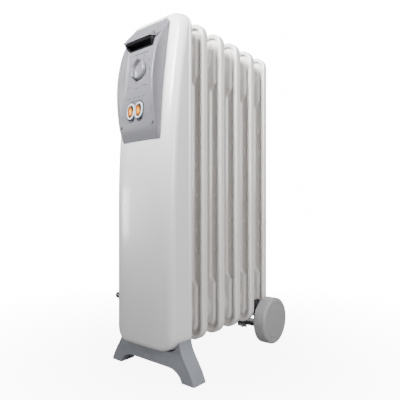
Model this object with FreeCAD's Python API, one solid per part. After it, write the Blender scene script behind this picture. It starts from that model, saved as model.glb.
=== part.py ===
import FreeCAD, Part
import math
import os

# Oil filled radiator heater. Units are millimetres, +Z is up and the control
# panel faces -Y. The origin is the bottom centre of the whole heater.
V = FreeCAD.Vector

# ---- driving dimensions -------------------------------------------------
Y_SHIFT = -171.56         # moves the cover-front datum so that the origin is central
SHEET = 1.0               # fin steel
FIN_HALF_W = 69.0
FIN_BOTTOM = 51.0
FIN_TOP = 637.0
FIN_CORNER = 26.0
FIN_COUNT = 6
FIN_Y = (46.9, 98.8, 152.7, 206.6, 260.5, 314.4)   # weld planes, the first inside the cover
RIM_DEPTH = 8.0           # half of the folded rim, along Y
RIM_WIDTH = 8.0           # folded rim, seen from the front
RIM_WALL = 1.2
SLIM_RIM_DEPTH = 6.5      # rims of the last element and of the cover's side of the first
PAD_DEPTH = 6.5           # embossed oil chamber
HUB_Z = (100.0, 589.0)
HUB_BASE_R = 34.0
HUB_FACE_R = 23.0
HUB_DEPTH = 14.0
SLIM_HUB_DEPTH = 9.0
PORT_R = 17.0
COLLAR_R = 21.0
LOUVRE_Z = (216.0, 267.5, 319.0, 370.5, 422.0, 473.5)

COVER_HALF_W = 71.5
COVER_BOTTOM = 47.0
COVER_TOP = 639.2
COVER_CORNER = 28.0
COVER_REAR = 57.5
COVER_WALL = 1.2
LEAN_START = 300.0
LEAN_R = 1700.0

PANEL_LOW = (-11.0, 452.0)     # (y, z) of the dial panel's lower end
PANEL_HIGH = (5.8, 585.0)      # (y, z) of its upper end
KNOB_Z = 536.5
KNOB_R = 18.5
KNOB_H = 14.0
ROCKER_Z = 463.5
ROCKER_X = 10.0
ROCKER_A = 6.2
ROCKER_B = 10.2
ROCKER_TILT = 8.0

WHEEL_R = 49.7
WHEEL_Y = 308.0
WHEEL_IN = 72.3
AXLE_R = 4.0
COLLAR_GAP_Y = 287.45          # middle of the last gap between elements

GLAND_Y = 24.0
GLAND_Z = 128.0
CORD_R = 3.6
FOOT_BOLTS = ((-40.0, 30.0), (40.0, 30.0))
FASCIA_SCREWS = ((-39.5, 440.0), (39.5, 440.0), (-39.0, 560.0), (39.0, 560.0))

os.makedirs("parts", exist_ok=True)


# ---- small shape helpers ------------------------------------------------
def box(x0, x1, y0, y1, z0, z1):
    return Part.makeBox(x1 - x0, y1 - y0, z1 - z0, V(x0, y0, z0))


def rounded_xz(half_w, z0, z1, r, y0, y1):
    """Prism along Y with a rounded rectangle outline in XZ."""
    k = r * (1 - math.sqrt(0.5))
    a = half_w
    pts = [(-a + r, z0), (a - r, z0), (a - k, z0 + k), (a, z0 + r), (a, z1 - r),
           (a - k, z1 - k), (a - r, z1), (-a + r, z1), (-a + k, z1 - k), (-a, z1 - r),
           (-a, z0 + r), (-a + k, z0 + k)]
    p = [V(x, y0, z) for x, z in pts]
    edges = [Part.makeLine(p[0], p[1]), Part.Arc(p[1], p[2], p[3]).toShape(),
             Part.makeLine(p[3], p[4]), Part.Arc(p[4], p[5], p[6]).toShape(),
             Part.makeLine(p[6], p[7]), Part.Arc(p[7], p[8], p[9]).toShape(),
             Part.makeLine(p[9], p[10]), Part.Arc(p[10], p[11], p[0]).toShape()]
    return Part.Face(Part.Wire(edges)).extrude(V(0, y1 - y0, 0))


def poly_x(points_yz, x0, x1):
    """Prism along X of a closed polygon given in (y, z)."""
    p = [V(x0, y, z) for y, z in points_yz]
    return Part.Face(Part.makePolygon(p + [p[0]])).extrude(V(x1 - x0, 0, 0))


def poly_y(points_xz, y0, y1):
    """Prism along Y of a closed polygon given in (x, z)."""
    p = [V(x, y0, z) for x, z in points_xz]
    return Part.Face(Part.makePolygon(p + [p[0]])).extrude(V(0, y1 - y0, 0))


def poly_z(points_xy, z0, z1):
    """Prism along Z of a closed polygon given in (x, y)."""
    p = [V(x, y, z0) for x, y in points_xy]
    return Part.Face(Part.makePolygon(p + [p[0]])).extrude(V(0, 0, z1 - z0))


def cyl_x(x0, x1, y, z, r):
    return Part.makeCylinder(r, x1 - x0, V(x0, y, z), V(1, 0, 0))


def cyl_y(x, y0, y1, z, r):
    return Part.makeCylinder(r, y1 - y0, V(x, y0, z), V(0, 1, 0))


def cyl_z(x, y, z0, z1, r):
    return Part.makeCylinder(r, z1 - z0, V(x, y, z0), V(0, 0, 1))


def revolve_y(points_ry, x, z):
    """Solid of revolution about the line along Y through (x, z); points are (r, y)."""
    p = [V(x + r, y, z) for r, y in points_ry]
    return Part.Face(Part.makePolygon(p + [p[0]])).revolve(V(x, 0, z), V(0, 1, 0), 360)


def revolve_x(points_rx, y, z):
    """Solid of revolution about the line along X through (y, z); points are (r, x)."""
    p = [V(x, y, z + r) for r, x in points_rx]
    return Part.Face(Part.makePolygon(p + [p[0]])).revolve(V(0, y, z), V(1, 0, 0), 360)


def fuse(first, *rest):
    s = first
    for other in rest:
        s = s.fuse(other)
    return s.removeSplitter()


def cut(first, *rest):
    s = first
    for other in rest:
        s = s.cut(other)
    return s


def mirror_x(s):
    return s.mirror(V(0, 0, 0), V(1, 0, 0))


def fillet_where(s, r, test):
    """Round the edges whose centre of mass passes the test."""
    return s.makeFillet(r, [e for e in s.Edges if test(e.CenterOfMass, e)])


def save(name, *solids):
    """Move the solids into the row frame and write one STEP file for the node."""
    s = solids[0] if len(solids) == 1 else Part.makeCompound(list(solids))
    s = s.copy()
    s.translate(V(0, Y_SHIFT, 0))
    for one in s.Solids:
        if not one.isValid():
            print("NOT VALID", name)
    print("%-26s solids %2d  volume %10.0f" % (name, len(s.Solids), s.Volume))
    s.exportStep("parts/%s.step" % name)


# ---- radiator elements --------------------------------------------------
# Each element is two stamped half shells welded back to back: a thin web, an
# embossed oil chamber with two ports and a folded safety rim. Domed cups and
# collars join the ports of neighbouring elements into the two headers.
def chamber_outline(inset):
    """Dog-bone outline of the oil chamber as (x, z) points, clockwise from the lower left."""
    w, m, e = 61.0 - inset, 43.6 - inset, 22.0
    b, t = FIN_BOTTOM + 11.5 + inset, FIN_TOP - 11.5 - inset
    half = [(w - e, b), (w - 0.29 * e, b + 0.29 * e), (w, b + e), (w, 141 + inset * 0.6)]
    for i in range(1, 9):
        a = math.pi * i / 8
        half.append((m + (w - m) * (1 + math.cos(a)) / 2, 141 + inset * 0.6 + 24.0 * i / 8))
    upper = [(x, FIN_BOTTOM + FIN_TOP - z) for x, z in reversed(half)]
    right = half + upper
    left = [(-x, z) for x, z in reversed(right)]
    return right + left


def chamber(inset, y0, y1):
    """Chamber block whose sides lean in by the pressing draft from y0 to y1."""
    depth = abs(y1 - y0)
    lo = [V(x, y0, z) for x, z in chamber_outline(inset)]
    hi = [V(x, y1, z) for x, z in chamber_outline(inset + 0.45 * depth)]
    return Part.makeLoft([Part.makePolygon(lo + [lo[0]]), Part.makePolygon(hi + [hi[0]])], True, True)


def front_shell(rim_depth):
    """Front half shell with its weld plane at y = 0."""
    rim = rounded_xz(FIN_HALF_W, FIN_BOTTOM, FIN_TOP, FIN_CORNER, -rim_depth, 0)
    w = RIM_WIDTH
    core = rounded_xz(FIN_HALF_W - w, FIN_BOTTOM + w, FIN_TOP - w, FIN_CORNER - w, -rim_depth - 1, 1)
    rim = rim.cut(core)
    rim = fillet_where(rim, 2.6, lambda c, e: abs(e.BoundBox.YMax + rim_depth) < 0.01)
    t = RIM_WALL
    groove = rounded_xz(FIN_HALF_W - t, FIN_BOTTOM + t, FIN_TOP - t, FIN_CORNER - t, -rim_depth + t, 1)
    u = w - t
    inner = rounded_xz(FIN_HALF_W - u, FIN_BOTTOM + u, FIN_TOP - u, FIN_CORNER - u, -rim_depth, 2)
    rim = rim.cut(groove.cut(inner))
    web = rounded_xz(FIN_HALF_W - u, FIN_BOTTOM + u, FIN_TOP - u, FIN_CORNER - u, -SHEET, 0)
    s = rim.fuse(web).fuse(chamber(0.0, 0.0, -PAD_DEPTH))
    return s.cut(chamber(SHEET, 0.001, -PAD_DEPTH + SHEET))


def louvre_slot(z, side):
    """Slot through the web beside the chamber, and its raised hood."""
    x = side * 51.0
    slot = box(x - 1.6, x + 1.6, -30, 30, z - 15, z + 15)
    return slot


def hood(z, side):
    x0, x1 = sorted((side * 48.6, side * 55.0))
    outer = poly_y([(x0, z - 18), (x1, z - 18), (x1, z + 18), (x0, z + 18)], -4.2, -SHEET)
    outer = fillet_where(outer, 2.2, lambda c, e: c.y < -4.1)
    return outer


shell = front_shell(RIM_DEPTH)
shell_slim = front_shell(SLIM_RIM_DEPTH)
slots = [louvre_slot(z, side) for z in LOUVRE_Z for side in (-1, 1)]
hoods = [hood(z, side) for z in LOUVRE_Z for side in (-1, 1)]
ports = [cyl_y(0, -30, 30, z, PORT_R) for z in HUB_Z]
plain, slim = [cut(s.fuse(hoods), *slots, *ports).removeSplitter() for s in (shell, shell_slim)]

for i, y in enumerate(FIN_Y):
    pair = {0: (slim, plain), FIN_COUNT - 1: (slim, slim)}.get(i, (plain, plain))
    front = pair[0].copy()
    front.translate(V(0, y, 0))
    rear = pair[1].mirror(V(0, 0, 0), V(0, 1, 0))
    rear.translate(V(0, y, 0))
    save("fin_%d_front_shell" % (i + 1), front)
    save("fin_%d_rear_shell" % (i + 1), rear)

def cup(y, side, depth, z):
    """Domed cup on an element's chamber; side is -1 towards the front and 1 towards the rear."""
    k = (depth - PAD_DEPTH) / (HUB_DEPTH - PAD_DEPTH)
    outline = [(HUB_BASE_R, 0), (HUB_BASE_R - 1.6, 2.2), (HUB_BASE_R - 5.0, 4.8), (HUB_FACE_R + 2.6, 6.8),
               (HUB_FACE_R, 7.5), (PORT_R, 7.5), (PORT_R, 6.5), (HUB_FACE_R - 0.6, 6.5),
               (HUB_FACE_R + 1.8, 5.8),
               (HUB_BASE_R - 5.8, 4.0), (HUB_BASE_R - 2.5, 1.7), (HUB_BASE_R - 1.2, 0)]
    return revolve_y([(r, y + side * (PAD_DEPTH + d * k)) for r, d in outline], 0, z)


# Every port has its cup; the collars join the cups of neighbouring elements.
for name, z in (("header_collars_lower", HUB_Z[0]), ("header_collars_upper", HUB_Z[1])):
    pieces = []
    for i, y in enumerate(FIN_Y):
        pieces.append(cup(y, -1, SLIM_HUB_DEPTH if i == 0 else HUB_DEPTH, z))
        pieces.append(cup(y, 1, HUB_DEPTH, z))
    for i in range(FIN_COUNT - 1):
        y0 = FIN_Y[i] + HUB_DEPTH
        y1 = FIN_Y[i + 1] - HUB_DEPTH
        tube = cyl_y(0, y0, y1, z, COLLAR_R).cut(cyl_y(0, y0 - 1, y1 + 1, z, PORT_R))
        mid = (y0 + y1) / 2
        bead = revolve_y([(COLLAR_R - 1, mid - 2), (COLLAR_R + 1.2, mid - 1.2), (COLLAR_R + 1.2, mid + 1.2),
                          (COLLAR_R - 1, mid + 2)], 0, z)
        pieces.append(tube.fuse(bead).removeSplitter())
    save(name, *pieces)

# Pressed caps close the ports of the last element; a cap closes the upper front port.
rear_face = FIN_Y[-1] + HUB_DEPTH
front_face = FIN_Y[0] - SLIM_HUB_DEPTH
caps = []
for z in HUB_Z:
    disc = revolve_y([(0, rear_face), (20.5, rear_face), (20.5, rear_face + 1.6), (19.2, rear_face + 3.0),
                      (10, rear_face + 3.6), (0, rear_face + 3.6)], 0, z)
    caps.append(disc)
caps.append(revolve_y([(0, front_face), (20.5, front_face), (20.5, front_face - 1.6),
                       (19.0, front_face - 2.6), (0, front_face - 2.6)], 0, HUB_Z[1]))
save("header_caps", *caps)
fill = revolve_y([(0, rear_face + 3.6), (7.5, rear_face + 3.6), (7.5, rear_face + 5.0),
                  (5.0, rear_face + 6.2),
                  (0, rear_face + 6.2)], 0, HUB_Z[1])
save("oil_fill_rivet", fill)

# ---- heating element in the lower header --------------------------------
low_z = HUB_Z[0]
flange = cyl_y(0, front_face - 5.0, front_face - 1.0, low_z, 22.0)
hexagon = [(19.0 * math.cos(math.pi * k / 3), low_z + 19.0 * math.sin(math.pi * k / 3)) for k in range(6)]
flange = fuse(flange, poly_y(hexagon, front_face - 10.0, front_face - 5.0))
tube_x = (-8.5, -2.9, 2.9, 8.5)
for x in tube_x:
    flange = flange.cut(cyl_y(x, front_face - 11, front_face, low_z, 2.2))
save("element_flange", flange)
save("element_gasket", cyl_y(0, front_face - 1.0, front_face, low_z, 21.5)
     .cut(cyl_y(0, front_face - 2, front_face + 1, low_z, 15.0)))
hairpins = []
for x0, x1, length in ((-8.5, -2.9, 205.0), (2.9, 8.5, 245.0)):
    y_end = front_face + length
    mid = (x0 + x1) / 2
    rad = (x1 - x0) / 2
    path = Part.Wire([Part.makeLine(V(x0, front_face - 14, low_z), V(x0, y_end, low_z)),
                      Part.Arc(V(x0, y_end, low_z), V(mid, y_end + rad, low_z),
                               V(x1, y_end, low_z)).toShape(),
                      Part.makeLine(V(x1, y_end, low_z), V(x1, front_face - 14, low_z))])
    ring = Part.Wire([Part.makeCircle(2.2, V(x0, front_face - 14, low_z), V(0, 1, 0))])
    hairpins.append(path.makePipeShell([ring], True, False))
save("element_tubes", *hairpins)
pins = []
for x in tube_x:
    pins.append(box(x - 0.4, x + 0.4, front_face - 24, front_face - 14, low_z - 2.4, low_z + 2.4))
save("element_terminals", *pins)

# ---- front cover --------------------------------------------------------
# One pressed steel hood, open at the back; its face is upright below and
# leans back along a large radius above.
def lean(z, offset=0.0):
    """Cover front plane's y at height z."""
    if z <= LEAN_START:
        return offset
    r = LEAN_R - offset
    return LEAN_R - math.sqrt(r * r - (z - LEAN_START) ** 2)


def cover_block(inset, rear, rounding):
    lo, hi = COVER_BOTTOM + inset, COVER_TOP - inset
    a, b = V(-90, inset, -20), V(-90, inset, LEAN_START)
    c, d = V(-90, lean(480, inset), 480), V(-90, lean(700, inset), 700)
    side = Part.Wire([Part.makeLine(a, b), Part.Arc(b, c, d).toShape(),
                      Part.makeLine(d, V(-90, rear, 700)),
                      Part.makeLine(V(-90, rear, 700), V(-90, rear, -20)),
                      Part.makeLine(V(-90, rear, -20), a)])
    slab = Part.Face(side).extrude(V(180, 0, 0))
    outline = rounded_xz(COVER_HALF_W - inset, lo, hi, COVER_CORNER - inset, -30, 80)
    s = slab.common(outline)
    edges = [e for e in s.Edges if e.BoundBox.YMax < rear - 1 and
             (e.BoundBox.XMax > COVER_HALF_W - COVER_CORNER - 1 or e.BoundBox.XMin < -44)]
    edges = [e for e in edges
             if not (abs(e.CenterOfMass.x) < 1 and LEAN_START - 20 < e.CenterOfMass.z < 320)]
    return s.makeFillet(rounding, edges)


cover = cover_block(0.0, COVER_REAR, 13.0).cut(cover_block(COVER_WALL, COVER_REAR + 20, 11.8))
hem = rounded_xz(COVER_HALF_W + 0.8, COVER_BOTTOM - 0.6, COVER_TOP + 0.8, COVER_CORNER + 0.8,
                 COVER_REAR - 8.0, COVER_REAR)
hem = fillet_where(hem, 0.78, lambda c, e: True)
hem = hem.cut(rounded_xz(COVER_HALF_W - COVER_WALL, COVER_BOTTOM + COVER_WALL, COVER_TOP - COVER_WALL,
                         COVER_CORNER - COVER_WALL, -10, 90))
cover = cover.fuse(hem)
window = box(-36, 36, -20, 40, 425, 600)
cover = cover.cut(window)
cover = cover.cut(cyl_x(-90, -60, GLAND_Y, GLAND_Z, 7.0))
for x, y in FOOT_BOLTS:
    cover = cover.cut(cyl_z(x, y, 40, 52, 2.2))
for x, z in FASCIA_SCREWS:
    cover = cover.cut(cyl_y(x, -10, 34, z, 1.7))
cover = cover.removeSplitter()
save("front_cover", cover)

# Spacer tabs hang the cover on the first element's rim.
tab_y = FIN_Y[0] - SLIM_RIM_DEPTH
tabs = []
for side in (-1, 1):
    for z in (150.0, 540.0):
        x0, x1 = sorted((side * (COVER_HALF_W - COVER_WALL), side * 63.0))
        tab = box(x0, x1, tab_y - 1.6, tab_y, z - 10, z + 10)
        x0, x1 = sorted((side * (COVER_HALF_W - COVER_WALL), side * 68.9))
        ear = box(x0, x1, tab_y - 7.4, tab_y - 1.6, z - 10, z + 10)
        tabs.append(tab.fuse(ear).removeSplitter())
save("cover_tabs", *tabs)

# Bright sheet that keeps radiated heat off the controls.
shield = box(-34, 34, 26.0, 26.8, 150, 560)
shield = fuse(shield, box(-34, -33.2, 26.8, 34.0, 150, 560), box(33.2, 34, 26.8, 34.0, 150, 560))
for k in range(5):
    shield = shield.cut(box(-18, 18, 20, 30, 190 + 70 * k, 196 + 70 * k))
save("heat_shield", shield)

# ---- control fascia -----------------------------------------------------
slope = (PANEL_HIGH[0] - PANEL_LOW[0]) / (PANEL_HIGH[1] - PANEL_LOW[1])
tilt = math.atan(slope)
NORMAL = V(0, -math.cos(tilt), math.sin(tilt))
UP = V(0, math.sin(tilt), math.cos(tilt))


def panel_y(z):
    return PANEL_LOW[0] + slope * (z - PANEL_LOW[1])


# Outer side profile of the rails, bulging forward, as (y, z) from the foot upwards.
RAIL = [(3.4, 413.0), (-1.5, 423.0), (-6.0, 434.0), (-9.8, 453.0), (-12.4, 474.0), (-13.5, 496.0),
        (-12.5, 520.0), (-8.4, 546.0), (0.4, 576.0), (11.0, 598.0), (24.0, 617.0), (28.5, 622.0)]


def back_line(clear):
    """Points just in front of the cover's face, from the top down."""
    out = []
    for k in range(9):
        z = 622.0 - k * (622.0 - 413.0) / 8
        out.append((lean(z) - clear, z))
    return out


def profile_face(x, points_front, points_back):
    curve = Part.BSplineCurve()
    curve.interpolate([V(x, y, z) for y, z in points_front])
    back = [V(x, y, z) for y, z in points_back]
    wire = Part.Wire([curve.toShape(), Part.makeLine(V(x, *points_front[-1]), back[0])] +
                     [Part.makeLine(back[k], back[k + 1]) for k in range(len(back) - 1)] +
                     [Part.makeLine(back[-1], V(x, *points_front[0]))])
    return Part.Face(wire)


body = profile_face(-60, RAIL, back_line(0.15)).extrude(V(120, 0, 0))
trapezoid = poly_y([(-47.2, 405), (47.2, 405), (44.6, 640), (-44.6, 640)], -60, 60)
body = body.common(trapezoid)
side_edges = [e for e in body.Edges if abs(e.CenterOfMass.x) > 40 and e.Length > 150 and
              e.BoundBox.YMin < -10]
body = body.makeFillet(2.2, side_edges)


# The dial panel is sunk between the rails: a tapering trough with leaning sides.
def trough(z, y, half_w):
    off = 24.0
    low = V(0, y, z)
    corner = [(-half_w, 0.0), (half_w, 0.0), (half_w + 14.0, off), (-half_w - 14.0, off)]
    p = [low + V(x, 0, 0) + NORMAL * d for x, d in corner]
    return Part.makePolygon(p + [p[0]])


z_low, z_high = PANEL_LOW[1] - 14, PANEL_HIGH[1] + 42
sunk = Part.makeLoft([trough(z_low, panel_y(z_low), 37.6), trough(z_high, panel_y(z_high), 31.6)],
                     True, True)
sunk = sunk.common(box(-60, 60, -60, 60, 400, 592))
body = body.cut(sunk)

# The hollow behind the shell.
WALL = 2.4
inner_front = [(y + WALL + 1.1, z) for y, z in RAIL[2:-2]]
inner_rear = [(lean(z) + 5, z) for z in (594, 540, 480, 436)]
hollow = profile_face(-60, inner_front, inner_rear).extrude(V(120, 0, 0))
hollow = hollow.common(poly_y([(-43.6, 405), (43.6, 405), (41.2, 640), (-41.2, 640)], -60, 60))
behind = [V(-50, panel_y(430) + WALL, 430), V(-50, panel_y(610) + WALL, 610), V(-50, 60, 610),
          V(-50, 60, 430)]
deep = Part.Face(Part.makePolygon(behind + [behind[0]])).extrude(V(100, 0, 0))
rail_room = fuse(poly_y([(-43.6, 405), (-40.6, 405), (-38.0, 640), (-41.2, 640)], -60, 60),
                 poly_y([(43.6, 405), (40.6, 405), (38.0, 640), (41.2, 640)], -60, 60))
hollow = hollow.common(deep.fuse(rail_room))
body = body.cut(hollow)

# Brow over the finger grip: slopes from the cover down to a straight lip.
LIP = (-7.0, 588.0)
brow = poly_x([(29.0, 627.0), (LIP[0] + 0.6, LIP[1] + 2.2), LIP, (LIP[0] + 2.0, LIP[1] - 0.6), (8.0, 590.0),
               (8.0, 600.0), (28.0, 618.0)], -50, 50)
for side in (-1, 1):
    wedge = poly_z([(side * 34.2, LIP[0] - 0.01), (side * (34.2 + 0.22 * 60), LIP[0] + 60),
                    (side * 80, LIP[0] + 60),
                    (side * 80, LIP[0] - 20), (side * 34.2, LIP[0] - 20)], 560, 650)
    brow = brow.cut(wedge)
brow = brow.cut(cover_block(0.0, COVER_REAR, 13.0))
body = body.fuse(brow)

# Everything on the dial panel is drawn flat (x right, y up, z out) and then laid on it.
def on_panel(s, x, z):
    m = FreeCAD.Matrix(1, 0, 0, x, 0, UP.y, NORMAL.y, panel_y(z), 0, UP.z, NORMAL.z, z, 0, 0, 0, 1)
    out = s.copy()
    out.Placement = FreeCAD.Placement(m).multiply(out.Placement)
    return out


def oval(a, b, d0, d1):
    e = Part.Ellipse(V(0, b, d0), V(a, 0, d0), V(0, 0, d0))
    return Part.Face(Part.Wire([e.toShape()])).extrude(V(0, 0, d1 - d0))


def disc(r, d0, d1):
    return Part.makeCylinder(r, d1 - d0, V(0, 0, d0))


# Hexagonal hole under the brow for the black grip, seat for the dial plate, and the
# holes for the two switches and the thermostat's spindle.
GRIP_OUT = [(-34.6, 586.6), (-34.6, 583.4), (-28.6, 574.4), (28.6, 574.4), (34.6, 583.4), (34.6, 586.6)]
GRIP_IN = [(-34.4, 586.4), (-34.4, 583.5), (-28.5, 574.6), (28.5, 574.6), (34.4, 583.5), (34.4, 586.4)]
body = body.cut(poly_y(GRIP_OUT, -20, 30))
for side in (-1, 1):
    body = body.cut(on_panel(oval(7.4, 12.4, -12, 8), side * ROCKER_X, ROCKER_Z))
body = body.cut(on_panel(disc(5.3, -12, 8), 0, KNOB_Z))
plate_low, plate_high = 506.0, 568.0
seat = on_panel(box(-29.2, 29.2, (plate_low - KNOB_Z), (plate_high - KNOB_Z), -0.6, 3), 0, KNOB_Z)
body = body.cut(seat)
for x, z in FASCIA_SCREWS:
    boss = cyl_y(x, lean(z) - 15, lean(z) - 0.7, z, 3.0)
    body = body.fuse(boss.common(poly_y([(-47, 405), (47, 405), (44, 640), (-44, 640)], -60, 60)))
for x, z in FASCIA_SCREWS:
    body = body.cut(cyl_y(x, lean(z) - 11, lean(z) + 1, z, 1.4))
body = body.removeSplitter()
save("control_fascia", body)

screws = []
for x, z in FASCIA_SCREWS:
    y0 = lean(z) + COVER_WALL + 0.5
    screws.append(fuse(cyl_y(x, y0, y0 + 2.0, z, 2.8), cyl_y(x, lean(z) - 10.8, y0, z, 1.4)))
save("fascia_screws", *screws)

# Black grip: a cup under the brow with a sloping mouth.
grip = poly_x([(-4.4, 586.4), (4.6, 574.6), (18.0, 574.6), (18.0, 586.4)], -40, 40)
grip = grip.common(poly_y(GRIP_IN, -20, 30))
grip = grip.cut(poly_y([(-30.5, 585.0), (-30.5, 583.0), (-27.0, 576.4), (27.0, 576.4), (30.5, 583.0),
                        (30.5, 585.0)], -20, 15.6))
save("grip_insert", grip)

# Printed dial plate, flush in its seat around the knob.
plate = box(-29.0, 29.0, plate_low - KNOB_Z + 0.2, plate_high - KNOB_Z - 0.2, -0.6, 0.0)
plate = on_panel(plate.cut(disc(5.3, -3, 3)), 0, KNOB_Z)
save("dial_plate", plate)


# ---- thermostat and knob ------------------------------------------------
def grip_bar():
    """S-shaped finger bar across the knob, pointing up before it is turned to its setting."""
    centre = [(-3.2, -17.0), (-2.2, -9.0), (0.0, 0.0), (2.2, 9.0), (3.2, 17.0)]
    width = (2.0, 2.9, 3.1, 2.7, 1.5)
    left = [V(x - w, y, 0) for (x, y), w in zip(centre, width)]
    right = [V(x + w, y, 0) for (x, y), w in zip(centre, width)]
    c0, c1 = Part.BSplineCurve(), Part.BSplineCurve()
    c0.interpolate(left)
    c1.interpolate(right)
    wire = Part.Wire([c0.toShape(), Part.makeLine(left[-1], right[-1]), c1.toShape(),
                      Part.makeLine(right[0], left[0])])
    bar = Part.Face(wire).extrude(V(0, 0, 20))
    crown = Part.makeCylinder(46.0, 30, V(-15, 0, KNOB_H - 46.0), V(1, 0, 0))
    return bar.common(crown)


profile = [(0, 0.9), (KNOB_R, 0.9), (KNOB_R, 2.6), (KNOB_R - 1.0, 4.2), (KNOB_R - 2.4, 5.4),
           (11.0, 6.4), (0, 6.8)]
pts = [V(r, 0, d) for r, d in profile]
knob = Part.Face(Part.makePolygon(pts + [pts[0]])).revolve(V(0, 0, 0), V(0, 0, 1), 360)
lower = Part.makeCylinder(KNOB_R - 0.6, 20, V(0, 0, 2))
knob = knob.fuse(grip_bar().common(lower)).cut(disc(3.0, -5, 5.6)).removeSplitter()
KNOB_TURN = -28.0
knob.rotate(V(0, 0, 0), V(0, 0, 1), KNOB_TURN)
save("control_knob", on_panel(knob, 0, KNOB_Z))
save("knob_spindle", on_panel(disc(3.0, -14.0, 5.6), 0, KNOB_Z))

save("thermostat_bush", on_panel(disc(5.2, -4.2, 0.4).cut(disc(3.06, -6, 2)), 0, KNOB_Z))
bracket = box(-22, 22, -21, 21, -5.4, -4.2).cut(disc(3.3, -6, 2))
for x in (-18, 18):
    bracket = bracket.fuse(box(x - 1.0, x + 1.0, -21, -13, -4.2, -3.4))
save("thermostat_bracket", on_panel(bracket.removeSplitter(), 0, KNOB_Z))
stat = fuse(box(-15, 15, -18, 18, -13.0, -5.4), box(-12, 12, -12, 12, -19.0, -13.0)).cut(disc(3.06, -15, 2))
save("thermostat_body", on_panel(stat, 0, KNOB_Z))
blades = [on_panel(box(x - 0.4, x + 0.4, 14.5, 22.0, -11.0, -6.6), 0, KNOB_Z)
          for x in (-9.0, 9.0)]
stat_blades = [b.cut(on_panel(box(-15, 15, -18, 18, -13.0, -5.4), 0, KNOB_Z)) for b in blades]

# ---- rocker switches ----------------------------------------------------
PIVOT_D = -5.0
ring = oval(10.3, 14.4, 0.0, 1.6)
pair = ring.copy()
pair.translate(V(-ROCKER_X, 0, 0))
other = ring.copy()
other.translate(V(ROCKER_X, 0, 0))
bezel = pair.fuse(other)
for side in (-1, 1):
    sleeve = oval(7.2, 12.2, -10.5, 0.0)
    sleeve.translate(V(side * ROCKER_X, 0, 0))
    bezel = bezel.fuse(sleeve)
for side in (-1, 1):
    bore = oval(6.6, 11.4, -12.0, 3.0)
    bore.translate(V(side * ROCKER_X, 0, 0))
    bezel = bezel.cut(bore)
    bezel = bezel.cut(Part.makeCylinder(1.25, 16, V(side * ROCKER_X - 8, 0, PIVOT_D), V(1, 0, 0)))
save("switch_bezel", on_panel(bezel.removeSplitter(), 0, ROCKER_Z))


def rocker():
    """Dished oval rocker with its pivot pins; the pivot is at PIVOT_D behind the panel."""
    s = oval(ROCKER_A, ROCKER_B, -8.0, 5.0)
    s = s.common(Part.makeCylinder(12.2, 16, V(-8, 0, PIVOT_D), V(1, 0, 0)))
    s = s.cut(Part.makeCylinder(34.0, 16, V(-8, 0, 36.4), V(1, 0, 0)))
    s = s.fuse(Part.makeCylinder(1.2, 14.0, V(-7.0, 0, PIVOT_D), V(1, 0, 0)))
    s = s.removeSplitter()
    s.rotate(V(0, 0, PIVOT_D), V(1, 0, 0), ROCKER_TILT)
    return s


for name, side in (("left", -1), ("right", 1)):
    save("rocker_" + name, on_panel(rocker(), side * ROCKER_X, ROCKER_Z))
    shell_box = box(-8.4, 8.4, -13.4, 13.4, -23.0, -10.6).cut(box(-6.4, 6.4, -11.4, 11.4, -21.0, -10.0))
    save("switch_housing_" + name, on_panel(shell_box, side * ROCKER_X, ROCKER_Z))
spades = [on_panel(box(-2.4, 2.4, y - 0.4, y + 0.4, -29.0, -23.0), side * ROCKER_X, ROCKER_Z)
          for side in (-1, 1) for y in (-8.0, 0.0, 8.0)]
save("spade_terminals", *spades, *stat_blades)

# ---- electrical parts behind the cover ----------------------------------
pad_face = FIN_Y[0] - PAD_DEPTH
save("thermal_cutout", cyl_y(0, 31.2, pad_face, 500, 8.0))
strap = fuse(box(-18, 18, 30.2, 31.2, 493, 507), box(-18, -17, 31.2, pad_face, 493, 507),
             box(17, 18, 31.2, pad_face, 493, 507))
save("cutout_strap", strap)
block = box(-20, 20, 13.0, 26.0, 300, 316)
for x in (-12, 0, 12):
    block = block.cut(cyl_y(x, 10, 20, 308, 3.0))
save("terminal_block", block)
leads = [cyl_z(-12, 17.0, 316, 444, 1.5), cyl_z(0, 17.0, 316, 444, 1.5), cyl_z(12, 17.0, 316, 444, 1.5),
         cyl_z(-12, 17.0, 136, 300, 1.5), cyl_z(0, 17.0, 126, 300, 1.5), cyl_z(12, 17.0, 126, 300, 1.5)]
save("inner_leads", *leads)

# Cord gland on the cover's left wall, its nut inside and the clamp behind it.
wall_out, wall_in = -COVER_HALF_W, -COVER_HALF_W + COVER_WALL
gland = [(0, wall_in + 9.0), (6.8, wall_in + 9.0), (6.8, wall_out), (11.0, wall_out), (11.0, wall_out - 2.6),
         (8.6, wall_out - 4.0), (7.0, wall_out - 5.0), (5.6, wall_out - 17.0), (0, wall_out - 17.0)]
gland = revolve_x(gland, GLAND_Y, GLAND_Z).cut(cyl_x(-110, -50, GLAND_Y, GLAND_Z, CORD_R))
save("cord_gland", gland)
hexa = [V(wall_in, GLAND_Y + 10.0 * math.cos(math.pi * k / 3), GLAND_Z + 10.0 * math.sin(math.pi * k / 3))
        for k in range(6)]
nut = Part.Face(Part.makePolygon(hexa + [hexa[0]])).extrude(V(4.5, 0, 0))
save("gland_nut", nut.cut(cyl_x(-90, -50, GLAND_Y, GLAND_Z, 6.82)))
clamp = fuse(box(-58, -44, GLAND_Y - 9, GLAND_Y + 7.0, GLAND_Z - 9, GLAND_Z - 1.0),
             box(-58, -44, GLAND_Y - 9, GLAND_Y + 7.0, GLAND_Z + 1.0, GLAND_Z + 9))
clamp = clamp.cut(cyl_x(-60, -40, GLAND_Y, GLAND_Z, CORD_R))
save("cord_clamp", *clamp.Solids)

# ---- front foot ---------------------------------------------------------
FOOT_Y0, FOOT_Y1 = 24.0, 56.0


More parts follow.
